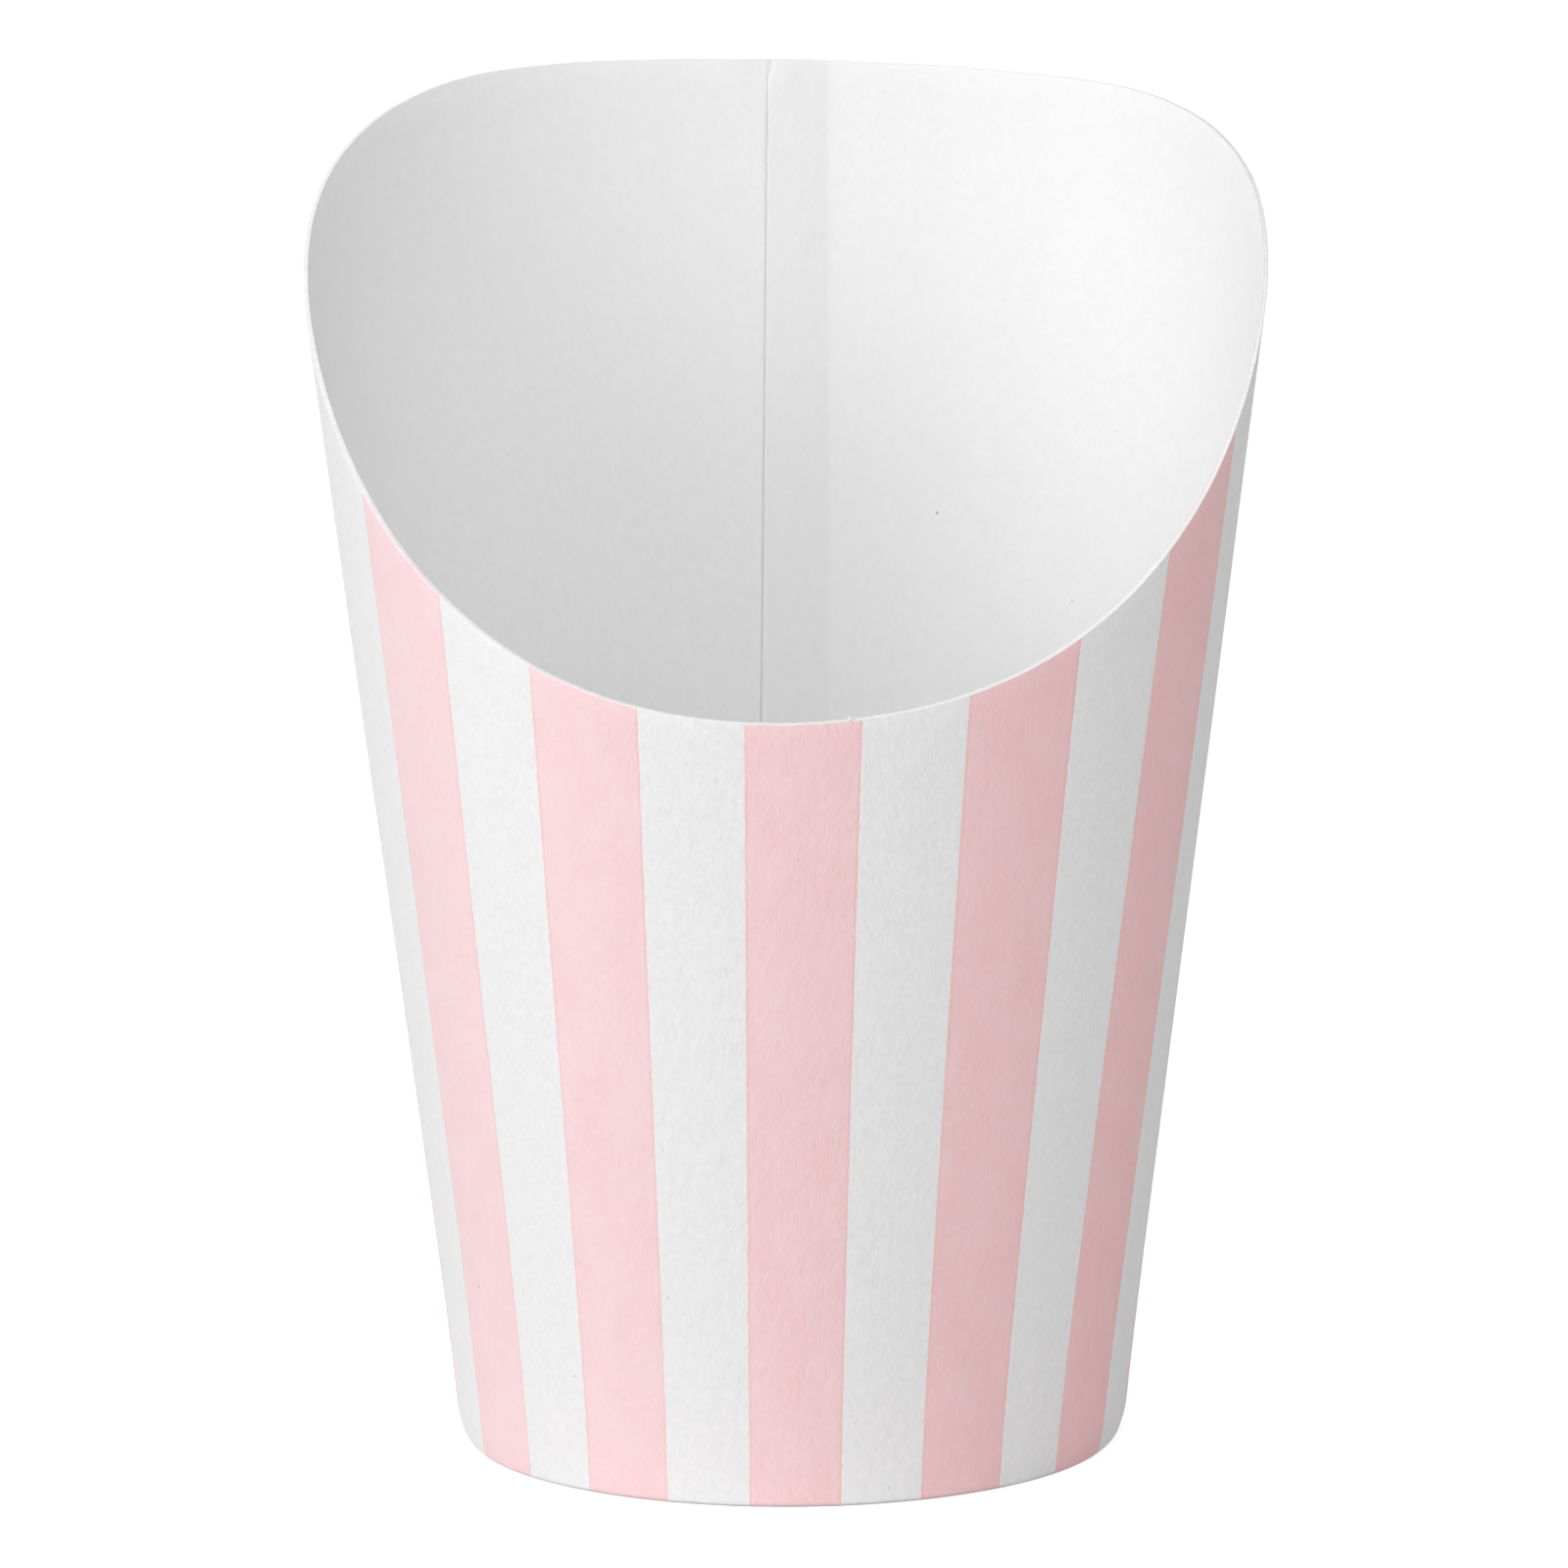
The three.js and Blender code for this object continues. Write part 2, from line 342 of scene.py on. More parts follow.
def flap_places():
    """Distances in from a flap's free edge, close together in its pressed edge and corner."""
    quarter = math.pi / 2
    edge = [quarter * i / EDGE_COLUMNS for i in range(EDGE_COLUMNS + 1)]
    corner = [quarter * i / CORNER_COLUMNS for i in range(3, CORNER_COLUMNS + 1)]
    places = [CRUSHED_EDGE * (1 - math.cos(turn)) for turn in edge]
    places += [LAP_CORNER * (1 - math.cos(turn)) for turn in corner]
    rest = 2 * LAP_HALF - LAP_CORNER
    return places + [LAP_CORNER + rest * i / FLAP_COLUMNS for i in range(1, FLAP_COLUMNS + 1)]


def under_flap():
    """The inner flap, from its free edge inwards, and the wall beside it."""
    columns = []
    for inward in flap_places():
        place = LAP_HALF - inward
        columns.append(column(
            LAP_MIDDLE, place, out=lap_bulge(place), foot=LAP_LIFT, drop=corner_drop(inward),
            inner_press=pressed(inward), outer_press=wedged(place), edge=at_edge(inward),
        ))
    for i in range(1, BESIDE_LAP + 1):
        beside = UNDER_STEP * i
        place = -LAP_HALF - beside
        foot = LAP_LIFT * (1 - smooth(beside / FOLD_FADE))
        columns.append(column(LAP_MIDDLE, place, out=lap_bulge(place), foot=foot))
    return columns


def over_flap():
    """The wall beside the lap, the step out over the inner flap, and on to the free edge."""
    columns = []
    for i in range(BESIDE_LAP, 0, -1):
        columns.append(column(LAP_MIDDLE - 360, LAP_RAMP[0] + OVER_STEP * i, outer=1))
    for i in range(RAMP_COLUMNS + 1):
        place = LAP_RAMP[0] - (LAP_RAMP[0] - LAP_RAMP[1]) * i / RAMP_COLUMNS
        out = step_out(place) + lap_bulge(place)
        columns.append(column(LAP_MIDDLE - 360, place, out=out, outer=1))
    for inward in reversed(flap_places()):
        place = inward - LAP_HALF
        if place < LAP_RAMP[1] - 0.1:
            columns.append(column(
                LAP_MIDDLE - 360, place, out=LAP_LIFT + lap_bulge(place),
                drop=corner_drop(inward), outer_press=pressed(inward), edge=at_edge(inward),
            ))
    return columns


def open_columns():
    """The rest of the wall at even angles, with columns close together at the burr in the lip."""
    first = LAP_MIDDLE - math.degrees((LAP_HALF + LAP_COLUMNS_END[0]) / FOOT_RADIUS)
    last = LAP_MIDDLE - 360 + math.degrees((LAP_RAMP[0] + LAP_COLUMNS_END[1]) / FOOT_RADIUS)
    steps = round((first - last) / COLUMN_STEP)
    angles = [first + (last - first) * i / steps for i in range(steps + 1)]
    top = wall_radius(LIP_HEIGHT)
    angles += [CUT_BURR[0] + math.degrees(CUT_BURR[2] * i / 4 / top) for i in range(-9, 16)]
    return [column(angle) for angle in sorted(angles, reverse=True)]


def right_of(start, end):
    """The direction square to a line, on its right."""
    way = (end - start).normalized()
    return Vector((way.y, -way.x))


def offset_corners(corners, depth):
    """The corners of the board's other face, this thickness away on the right."""
    moved = []
    last = len(corners) - 1
    for i, corner in enumerate(corners):
        before = right_of(corners[max(i - 1, 0)], corners[max(i, 1)])
        after = right_of(corners[min(i, last - 1)], corners[min(i + 1, last)])
        moved.append(corner + (before + after) * (depth / (1 + before.dot(after))))
    return moved


def bend(before, corner, after, radius, rows):
    """The round of one fold, as points from the run before it to the run after it."""
    side, next_side = right_of(before, corner), right_of(corner, after)
    turn = side.angle(next_side)
    start = corner - (corner - before).normalized() * radius * math.tan(turn / 2)
    centre = start + side * radius
    arc = []
    for i in range(rows + 1):
        spin = Matrix.Rotation(-turn * i / rows, 2)
        arc.append(centre + spin @ (start - centre))
    return arc


def bent_face(corners, radius, runs, bend_rows):
    """A folded face as points, with each straight run cut at the shares that its list gives."""
    points = [corners[0]]
    for i in range(len(corners) - 1):
        turned = i + 2 < len(corners)
        arc = bend(*corners[i:i + 3], radius, bend_rows) if turned else [corners[-1]]
        start = points[-1]
        points += [start.lerp(arc[0], share) for share in runs[i]]
        points += arc
    return points


def wall_shares():
    """Rows down the wall, closer at the foot and at the burrs on the inner flap's edge."""
    shares = [i / WALL_ROWS for i in range(1, WALL_ROWS)]
    shares += [1 - i / FOOT_ROWS_UP_WALL for i in range(1, FOOT_ROWS + 1)]
    for height, _, half_width in FLAP_BURRS:
        middle = 1 - height / BACK_HEIGHT
        shares += [middle + half_width * i / 2 / BACK_HEIGHT for i in range(-4, 5)]
    return sorted(shares)


# The die rounds the cut edge over on the printed side and leaves a low groove by the inner
# face: share of the thickness, millimetres below the cut, and the groove's part of that
CUT_PROFILE = [
    (0.02, 0.04, 0), (0.07, 0.018, 0), (0.15, 0.005, 0), (0.28, 0, 0), (0.42, 0, 0.05),
    (0.54, 0, 0.4), (0.63, 0, 1), (0.73, 0, 1), (0.81, 0, 0.3), (0.90, 0, 0), (0.97, 0.02, 0),
]
CUT_GROOVE = 0.075
GROOVE_MIDDLE = 68  # the groove is deepest here, on the right of the lip
GROOVE_WIDTH = 32  # degrees
GROOVE_LEAST = 0.25  # share of its depth elsewhere
HEM_PROFILE = [(0.1, -0.02, 0), (0.5, -0.035, 0), (0.9, -0.02, 0)]
CUT_OUTER = 0.08  # the outer face starts this far below the cut
CUT_INNER = 0.06  # and the inner face this far


def groove_depth(angle):
    near = math.exp(-(((angle - GROOVE_MIDDLE) / GROOVE_WIDTH) ** 2))
    return CUT_GROOVE * (GROOVE_LEAST + (1 - GROOVE_LEAST) * near)


def cut_edge(outer, inner, down, profile, groove=0):
    """Points across the board's thickness, from its outer corner to its inner one."""
    return [outer.lerp(inner, at) + down * (low + dip * groove) for at, low, dip in profile]


def section(height, foot, out, groove):
    """The sheet cut through at one column: radius and height of each point, all the way round."""
    cos = math.cos(LEAN)
    depth = FOLD_WIDTH + LAP_LIFT * smooth(out / LAP_LIFT)
    corners = [
        Vector((wall_radius(height) + out / cos, height)),
        Vector((wall_radius(foot) + out / cos, foot)),
        Vector((wall_radius(foot) - depth / cos, foot)),
        Vector((wall_radius(HEM_HEIGHT) - depth / cos, HEM_HEIGHT)),
    ]
    inner_corners = offset_corners(corners, BOARD)
    runs = [WALL_SHARES, [0.5], [i / HEM_ROWS for i in range(1, HEM_ROWS)]]
    down = (corners[1] - corners[0]).normalized()
    hem_down = (corners[2] - corners[3]).normalized()
    outer = bent_face([corners[0] + down * CUT_OUTER, *corners[1:]], FOLD_BEND, runs, BEND_ROWS)
    inner_from = [inner_corners[0] + down * CUT_INNER, *inner_corners[1:]]
    inner = bent_face(inner_from, FOLD_BEND - BOARD, runs, BEND_ROWS)
    rim = cut_edge(corners[0], inner_corners[0], down, CUT_PROFILE, groove)
    hem = cut_edge(corners[3], inner_corners[3], hem_down, HEM_PROFILE)
    return outer, hem, inner[::-1], rim[::-1]


WALL_SHARES = wall_shares()


def column_angle(col, radius):
    return col["angle"] + math.degrees(col["place"] / radius)


# This cup is a little out of round. Its waves start at two round the cup, in millimetres at
# this height, and grow from the foot up
GIVEN_AT = 100
ROUND_WAVES = [(-0.696, -0.536), (0.278, 0.217), (-0.748, -0.391)]
FOOT_SWELL = (0.5, 8)  # the wall swells by this much, fading over this height
FOOT_OVAL = (0.2, 12)  # and is this much longer from front to back
FOOT_SHIFT = -0.1  # and sits this much to the left
FOOT_ROLL = (0.6, 3)  # at the two sides the fold rolls in by this much, over this height
FOOT_ROLL_POWER = 8  # how closely that keeps to the sides
COCKLE = 0.06  # board takes up a little damp and is never quite even
COCKLES_ROUND = 1.6  # to a radian, so about ten in all
COCKLE_TALL = 28
COCKLE_FREE = 30  # the foot holds the board true up to this height


def foot_shape(angle, height):
    """The folding tool swells the wall just above the fold and rolls its corner in."""
    up = max(height, 0)
    turn = math.radians(angle)
    swell = FOOT_SWELL[0] * math.exp(-up / FOOT_SWELL[1])
    oval = FOOT_OVAL[0] * math.cos(2 * turn)
    aside = FOOT_SHIFT * math.sin(turn)
    at_side = math.sin(turn) ** FOOT_ROLL_POWER
    roll = FOOT_ROLL[0] * max(1 - up / FOOT_ROLL[1], 0) ** 2 * at_side
    return swell + (oval + aside) * math.exp(-up / FOOT_OVAL[1]) - roll


def on_cup(angle, radius, height):
    """A point of the cup in metres, moved out of round as this cup is."""
    turn = math.radians(angle)
    out = height / GIVEN_AT * waves(ROUND_WAVES, 2, angle) + foot_shape(angle, height)
    radius += out * min(radius / FOOT_RADIUS, 1)
    return Vector((radius * math.sin(turn), -radius * math.cos(turn), height)) * MM + CUP_AXIS


def cockle(angle, height):
    turn = math.radians(angle)
    across, along = COCKLES_ROUND * math.sin(turn), COCKLES_ROUND * math.cos(turn)
    place = Vector((across, along, height / COCKLE_TALL))
    return COCKLE * noise.noise(place) * smooth(height / COCKLE_FREE)


# Each printed stripe's left edge in degrees, at the foot and at the height GIVEN_AT, and its
# right edge at the same two. The first and last are one stripe, which the lap covers
STRIPES = [
    (-185.6, -183.2, -169.7, -167.3),
    (-156.0, -154.0, -140.2, -139.0),
    (-127.0, -126.5, -111.4, -112.0),
    (-98.3, -100.6, -80.6, -85.7),
    (-65.36, -62.73, -49.05, -46.18),
    (-35.0, -32.21, -19.54, -17.28),
    (-5.44, -3.39, 10.24, 12.52),
    (24.15, 27.04, 39.95, 43.23),
    (53.56, 58.22, 69.56, 74.94),
    (85.3, 91.0, 101.0, 106.5),
    (115.0, 119.5, 130.6, 134.5),
    (144.6, 148.0, 160.4, 163.3),
    (174.4, 176.8, 190.3, 192.7),
]
STRIPE_HALF = 0.53 / 2  # half a stripe, as a share of the way to the next one
LIP_STRIPE = 6  # the row of the stripe at the lip's middle


def stripe_count(angle, height):
    """How many stripes from the one at the lip's middle: whole in the middle of each stripe."""
    up = max(height, 0) / GIVEN_AT
    edges = []
    for i, (left, left_up, right, right_up) in enumerate(STRIPES):
        edges.append((left + (left_up - left) * up, i - LIP_STRIPE - STRIPE_HALF))
        edges.append((right + (right_up - right) * up, i - LIP_STRIPE + STRIPE_HALF))
    i = 0
    while i < len(edges) - 2 and edges[i + 1][0] < angle:
        i += 1
    (start, first), (end, last) = edges[i], edges[i + 1]
    return first + (last - first) * (angle - start) / (end - start)


# The inner flap's free edge runs a little askew: millimetres round, and at what height
ASKEW = [(0.76, 45), (-0.15, 118)]
ASKEW_FADE = (4, 5)  # past the step that lies over it, this fades from here, over this much


def askew(place, height):
    """Moves the inner flap's edge, and the step in the outer flap that lies over it."""
    (foot_shift, foot), (top_shift, top) = ASKEW
    share = min(max((height - foot) / (top - foot), 0), 1)
    shift = foot_shift + (top_shift - foot_shift) * share
    near = smooth((place + LAP_HALF) / (2 * LAP_HALF))
    if place > LAP_HALF:
        near = 1 - smooth((place - ASKEW_FADE[0]) / ASKEW_FADE[1])
    return shift * near if place else 0


def soft_step(col, below_top):
    """The outer flap's step is soft by its top corner, where no inner flap presses it out."""
    if not col["outer"] or col["place"] < LAP_RAMP[1]:
        return 0
    start = LAP_RAMP[0] + LOOSE_STEP * (1 - smooth(below_top / LOOSE_TOP))
    return step_out(col["place"], start) - step_out(col["place"])


def ring_of(col):
    """A column's points round the board, with how many each part of the ring has, how far down
    the sheet each point is, and how deep in the board, from 0 outside to 1 inside."""
    top_angle = column_angle(col, MOUTH_RADIUS)
    height = cut_height(top_angle) - col["drop"]
    parts = section(height, col["foot"], col["out"], groove_depth(top_angle))
    outer, hem, inner, rim = parts
    lengths = [0]
    for a, b in zip(outer, outer[1:]):
        lengths.append(lengths[-1] + (b - a).length)
    run = lengths + [lengths[-1]] * len(hem) + lengths[::-1] + [0] * len(rim)
    hem_shares = [row[0] for row in HEM_PROFILE]
    cut_shares = [row[0] for row in CUT_PROFILE][::-1]
    depths = [0] * len(outer) + hem_shares + [1] * len(inner) + cut_shares
    slant = height / math.cos(LEAN)
    return outer + hem + inner + rim, [len(part) for part in parts], run, depths, slant


def place_round(col, up):
    """Where a column's point is along the board from the lap's middle, with its burrs."""
    place = col["place"] + askew(col["place"], up)
    if col["edge"] and place > 0:
        for height, proud, half_width in FLAP_BURRS:
            place += col["edge"] * burr(up - height, proud, half_width)
    return place


def flap_end(start, hem_start, inner_start, rim_start, around):
    """Closes a flap's free edge between the two faces, with the cut edges' points at its ends."""
    strip = []
    for i in range(hem_start - 1):
        back = rim_start - 1 - i
        strip.append((start + i, start + i + 1, start + back - 1, start + back))
    top = [start, start + rim_start - 1] + [start + i for i in range(rim_start, around)]
    hem = [start + i for i in range(hem_start - 1, inner_start + 1)]
    return strip + [tuple(top), tuple(hem)]


PRINTED, COATED_FACE, CUT = 0, 1, 2  # the sheet's three finishes


def sheet_faces(columns, counts):
    """The faces between the columns, and each one's finish."""
    hem_start, inner_start = counts[0], counts[0] + counts[1]
    rim_start, around = inner_start + counts[2], sum(counts)
    faces, finishes = [], []
    for c in range(columns - 1):
        for i in range(around):
            here, beside, after = c * around, (c + 1) * around, (i + 1) % around
            faces.append((here + i, beside + i, beside + after, here + after))
            if i < hem_start - 1:
                finishes.append(PRINTED)
            elif inner_start <= i < rim_start - 1:
                finishes.append(COATED_FACE)
            else:
                finishes.append(CUT)
    for start, turned in ((0, False), ((columns - 1) * around, True)):
        end_faces = flap_end(start, hem_start, inner_start, rim_start, around)
        faces += [face[::-1] for face in end_faces] if turned else end_faces
        finishes += [CUT] * len(end_faces)
    return faces, finishes


def side_wall():
    """The sheet's points and faces, and for each point its place on the flat blank, its place
    among the stripes, and how far it is below the cut, from the lap's middle and off the table."""
    columns = under_flap() + open_columns() + over_flap()
    points, blank, counts = [], [], []
    numbers = dict(stripe=[], below_cut=[], from_lap=[], off_table=[])
    for col in columns:
        ring, counts, run, depths, slant = ring_of(col)
        for (radius, up), down, depth in zip(ring, run, depths):
            radius += soft_step(col, down)
            angle = col["angle"] + math.degrees(place_round(col, up) / radius)
            press = col["inner_press"] * depth - col["outer_press"] * (1 - depth)
            points.append(on_cup(angle, radius + press + cockle(angle, up), up))
            lay = math.radians(angle) * math.sin(LEAN)
            reach = FOOT_RADIUS / math.sin(LEAN) + slant - down
            blank.append((reach * math.sin(lay) * MM, reach * math.cos(lay) * MM, 0))
            at_lap = (angle - LAP_MIDDLE + 180) % 360 - 180
            numbers["stripe"].append(stripe_count(angle, up))
            numbers["below_cut"].append(down * MM)
            numbers["from_lap"].append(math.radians(at_lap) * radius * MM)
            numbers["off_table"].append(up * MM)
    faces, finishes = sheet_faces(len(columns), counts)
    return points, faces, finishes, blank, numbers


def put(tree, kind, **values):
    """A node, its settings, and its inputs as numbers or as the sockets that feed them."""
    node = tree.nodes.new("ShaderNode" + kind)
    for name, value in values.items():
        if hasattr(node, name):
            setattr(node, name, value)
            continue
        key = int(name[1:]) if name[0] == "_" and name[1:].isdigit() else name.replace("_", " ")
        if isinstance(value, bpy.types.NodeSocket):
            tree.links.new(value, node.inputs[key])
        else:
            node.inputs[key].default_value = value
    return node


def times(tree, a, b):
    return put(tree, "Math", operation="MULTIPLY", _0=a, _1=b).outputs[0]


def plus(tree, a, b):
    return put(tree, "Math", operation="ADD", _0=a, _1=b).outputs[0]


def ramp(tree, value, start, end, low=0.0, high=1.0, curve="SMOOTHSTEP"):
    """Goes from low to high while the value goes from start to end, and no further."""
    node = put(tree, "MapRange", interpolation_type=curve, Value=value)
    for name, number in (("From Min", start), ("From Max", end), ("To Min", low), ("To Max", high)):
        node.inputs[name].default_value = number
    return node.outputs[0]


def read(tree, name, output="Fac"):
    """A number, or the place on the flat blank, that the mesh keeps for each point."""
    return put(tree, "Attribute", attribute_name=name).outputs[output]


def grain(tree, size_across, size_along, detail=2.0, start=0.0):
    """Uneven paper: a noise over the flat blank, with its own size across and along the grain."""
    place = put(tree, "Mapping", vector_type="POINT", Vector=read(tree, "blank", "Vector"))
    place.inputs["Scale"].default_value = (1000 / size_across, 1000 / size_along, 1)
    place.inputs["Location"].default_value = (start, start / 2, start / 3)
    texture = put(tree, "TexNoise", Vector=place.outputs[0], Scale=1.0, Detail=detail)
    return texture.outputs["Fac"]


def blend(tree, share, first, second):
    """The first colour, with this share of the second in its place."""
    node = put(tree, "Mix", data_type="RGBA")
    for socket, value in ((node.inputs[0], share), (node.inputs[6], first), (node.inputs[7], second)):
        if isinstance(value, bpy.types.NodeSocket):
            tree.links.new(value, socket)
        else:
            socket.default_value = value
    return node.outputs[2]


def board_finish(name, colour, rough, gloss, heights):
    """A board surface: colour is a function of the tree, heights are relief and its depth."""
    finish = bpy.data.materials.new(name)
    finish.use_nodes = True
    tree = finish.node_tree
    surface = tree.nodes["Principled BSDF"]
    surface.inputs["Specular IOR Level"].default_value = gloss
    tree.links.new(colour(tree), surface.inputs["Base Color"])
    tree.links.new(rough(tree), surface.inputs["Roughness"])
    bump = put(tree, "Bump", Strength=1.0, Distance=MM, Height=heights(tree))
    tree.links.new(bump.outputs[0], surface.inputs["Normal"])
    return finish


WHITE = (0.89, 0.89, 0.89, 1)
WHITE_LOW = (0.85, 0.85, 0.848, 1)
BOARD_GLOSS = 0.35
INK = (0.945, 0.725, 0.75, 1)
INK_DENSE = (0.93, 0.555, 0.565, 1)
INK_MIDDLE = 0.49  # the density, from INK at 0 to INK_DENSE at 1, this many stripes from the lip
INK_FROM = 0.6
INK_SHADE_ROUND_CUP = 0.38  # and how much denser it is laid towards the shaded right, and thinner towards the lit left: painted shade
STRIPE_PITCH = 30  # degrees
PRINT_WANDER = 0.0022  # a stripe's edge is this uneven, in stripes
PRINT_EDGE = (0.002, 0.005)  # and this far in from it the ink starts and is whole
SQUEEZED = (0.020, 0.008)  # the press squeezes ink out to the edge, from here to here
SQUEEZED_MORE = 0.5
INK_CLOUDS = 0.09  # how much denser or thinner the ink lies in faint clouds
INK_ON_MOTTLE = 0.07  # and on the board's own mottle
CUT_CLEAN = (0.03, 0.09)  # the die takes the ink off to here below the cut, and it is whole here
CUT_UNEVEN = 0.04
PAINTED_FOOT_SHADE = (0.62, 0.58, 0.58, 1)  # grey painted shade along the fold's foot, just above the table
FOOT_SHADE_UP_TO = 0.34  # off the table
FOOT_SHADE_FULLY = 0.10
FOOT_SHADE_SHARE = 0.65


def fibres(tree):
    """Height of the outer face in millimetres: fine fibres along the grain, and soft felt marks."""
    fine = ramp(tree, grain(tree, 0.28, 0.6, 3.0), 0.25, 0.75, 0, 0.030, "LINEAR")
    felt = ramp(tree, grain(tree, 0.8, 1.6, 2.0, 7), 0.3, 0.7, 0, 0.046, "LINEAR")
    return plus(tree, fine, felt)


def from_stripe(tree):
    """How far from the middle of the nearest stripe, with the print's slightly uneven edge."""
    paper = grain(tree, 0.3, 0.7, 2.0, 3)
    wander = ramp(tree, paper, 0.3, 0.7, -PRINT_WANDER, PRINT_WANDER, "LINEAR")
    count = plus(tree, read(tree, "stripe"), wander)
    return put(tree, "Math", operation="PINGPONG", _0=count, _1=0.5).outputs[0]


def inked(tree, middle):
    return ramp(tree, middle, STRIPE_HALF - PRINT_EDGE[0], STRIPE_HALF - PRINT_EDGE[1])


def ink_painted_shade(tree):
    """Painted shade: the ink is laid denser towards the cup's shaded right and thinner towards its
    lit left.
    """
    count = plus(tree, read(tree, "stripe"), -INK_FROM)
    turn = times(tree, count, math.radians(STRIPE_PITCH))
    shade_wave = put(tree, "Math", operation="SINE", _0=turn).outputs[0]
    return plus(tree, times(tree, shade_wave, INK_SHADE_ROUND_CUP), INK_MIDDLE)


# Specks of bark and dust in the board: degrees, height, radius, and colour
INNER_SPECKS = [
    (161.86, 77.51, 0.17, (0.50, 0.47, 0.43, 1)),
    (141.28, 70.66, 0.13, (0.58, 0.55, 0.50, 1)),
    (214.34, 65.46, 0.13, (0.60, 0.57, 0.53, 1)),
    (-98.19, 108.77, 0.14, (0.55, 0.52, 0.48, 1)),
]
OUTER_SPECKS = [
    (-59.35, 17.13, 0.18, (0.55, 0.40, 0.40, 1)),
    (-36.25, 11.04, 0.17, (0.70, 0.68, 0.65, 1)),
    (-17.9, 19.6, 0.17, (0.70, 0.68, 0.64, 1)),
    (18.5, 1.6, 0.15, (0.66, 0.64, 0.60, 1)),
]


def on_blank(angle, height):
    """Where a point of the cup lies on the flat blank."""
    lay = math.radians(angle) * math.sin(LEAN)
    reach = FOOT_RADIUS / math.sin(LEAN) + height / math.cos(LEAN)
    return (reach * math.sin(lay) * MM, reach * math.cos(lay) * MM, 0)


def specked(tree, colour, specks):
    where = read(tree, "blank", "Vector")
    for angle, height, radius, dirt in specks:
        away = put(tree, "VectorMath", operation="DISTANCE", _0=where, _1=on_blank(angle, height))
        share = ramp(tree, away.outputs["Value"], radius * MM, radius * 0.45 * MM)
        colour = blend(tree, share, colour, dirt)
    return colour


def printed_colour(tree):
    """White board with its mottle, the stripes' ink on it with painted shade towards the right, grey
    painted shade along the foot by the table, and specks.
    """
    mottle = ramp(tree, grain(tree, 0.36, 0.7, 3.0, 11), 0.3, 0.7)
    white = blend(tree, mottle, WHITE_LOW, WHITE)
    middle = from_stripe(tree)
    paper = grain(tree, 0.3, 0.7, 2.0, 13)
    uneven = ramp(tree, paper, 0.3, 0.7, -CUT_UNEVEN * MM, CUT_UNEVEN * MM, "LINEAR")
    below_cut = plus(tree, read(tree, "below_cut"), uneven)
    left_on = ramp(tree, below_cut, CUT_CLEAN[0] * MM, CUT_CLEAN[1] * MM)
    cover = times(tree, inked(tree, middle), left_on)
    at_edge_of_ink = ramp(tree, middle, STRIPE_HALF - SQUEEZED[0], STRIPE_HALF - SQUEEZED[1])
    squeezed = times(tree, at_edge_of_ink, SQUEEZED_MORE)
    cloud = ramp(tree, grain(tree, 3.5, 6, 2.0, 5), 0.3, 0.7, -INK_CLOUDS, INK_CLOUDS)
    on_mottle = ramp(tree, mottle, 1, 0, -INK_ON_MOTTLE, INK_ON_MOTTLE)
    dense = plus(tree, plus(tree, squeezed, cloud), on_mottle)
    # The ink is also laid denser towards the shaded right of the cup, as painted shade.
    ink = blend(tree, plus(tree, dense, ink_painted_shade(tree)), INK, INK_DENSE)
    off_table = read(tree, "off_table")
    # Painted shade along the foot of the fold, darkest where it meets the table.
    foot_shade = ramp(tree, off_table, FOOT_SHADE_UP_TO * MM, FOOT_SHADE_FULLY * MM, 0, FOOT_SHADE_SHARE)
    colour = blend(tree, foot_shade, blend(tree, cover, white, ink), PAINTED_FOOT_SHADE)
    return specked(tree, colour, OUTER_SPECKS)


def printed_rough(tree):
    """Uncoated board with a thin, dull ink on it."""
    return ramp(tree, grain(tree, 0.4, 1.2, 2.0, 9), 0.3, 0.7, 0.55, 0.68, "LINEAR")


COATED = (0.91, 0.91, 0.91, 1)  # the inside has a thin sealing coat
COATED_LOW = (0.893, 0.893, 0.891, 1)
COATED_GLOSS = 0.3
# The sealed lap lets no light through from behind. Its shade, in millimetres round from its
# middle, starts softly at the outer flap's end, is deepest there, and stops short at the inner
# flap's edge
LAP_WHITE = (0.845, 0.845, 0.845, 1)
LAP_SHADE_START = (-3.15, -2.55)
LAP_SHADE_FALL = (4, -2.5)
LAP_SHADE_LEAST = 0.35
LAP_SHADE_STOP = (3, 2.9)
LAP_SHADE = 0.5


def inner_colour(tree):
    mottle = ramp(tree, grain(tree, 0.6, 1.2, 3.0, 21), 0.3, 0.7)
    white = blend(tree, mottle, COATED_LOW, COATED)
    from_lap = times(tree, read(tree, "from_lap"), 1 / MM)
    starts = ramp(tree, from_lap, *LAP_SHADE_START)
    falls = ramp(tree, from_lap, *LAP_SHADE_FALL, LAP_SHADE_LEAST, 1, "LINEAR")
    stops = ramp(tree, from_lap, *LAP_SHADE_STOP)
    shade = times(tree, times(tree, starts, falls), times(tree, stops, LAP_SHADE))
    return specked(tree, blend(tree, shade, white, LAP_WHITE), INNER_SPECKS)


def inner_heights(tree):
    """The sealing coat fills the fibres, and leaves a softer, wider unevenness."""
    fine = ramp(tree, grain(tree, 0.3, 0.7, 3.0, 31), 0.25, 0.75, 0, 0.022, "LINEAR")
    soft = ramp(tree, grain(tree, 1.6, 2.2, 2.0, 37), 0.3, 0.7, 0, 0.045, "LINEAR")
    return plus(tree, fine, soft)


def inner_rough(tree):
    return ramp(tree, grain(tree, 0.5, 0.8, 2.0, 39), 0.3, 0.7, 0.5, 0.62, "LINEAR")


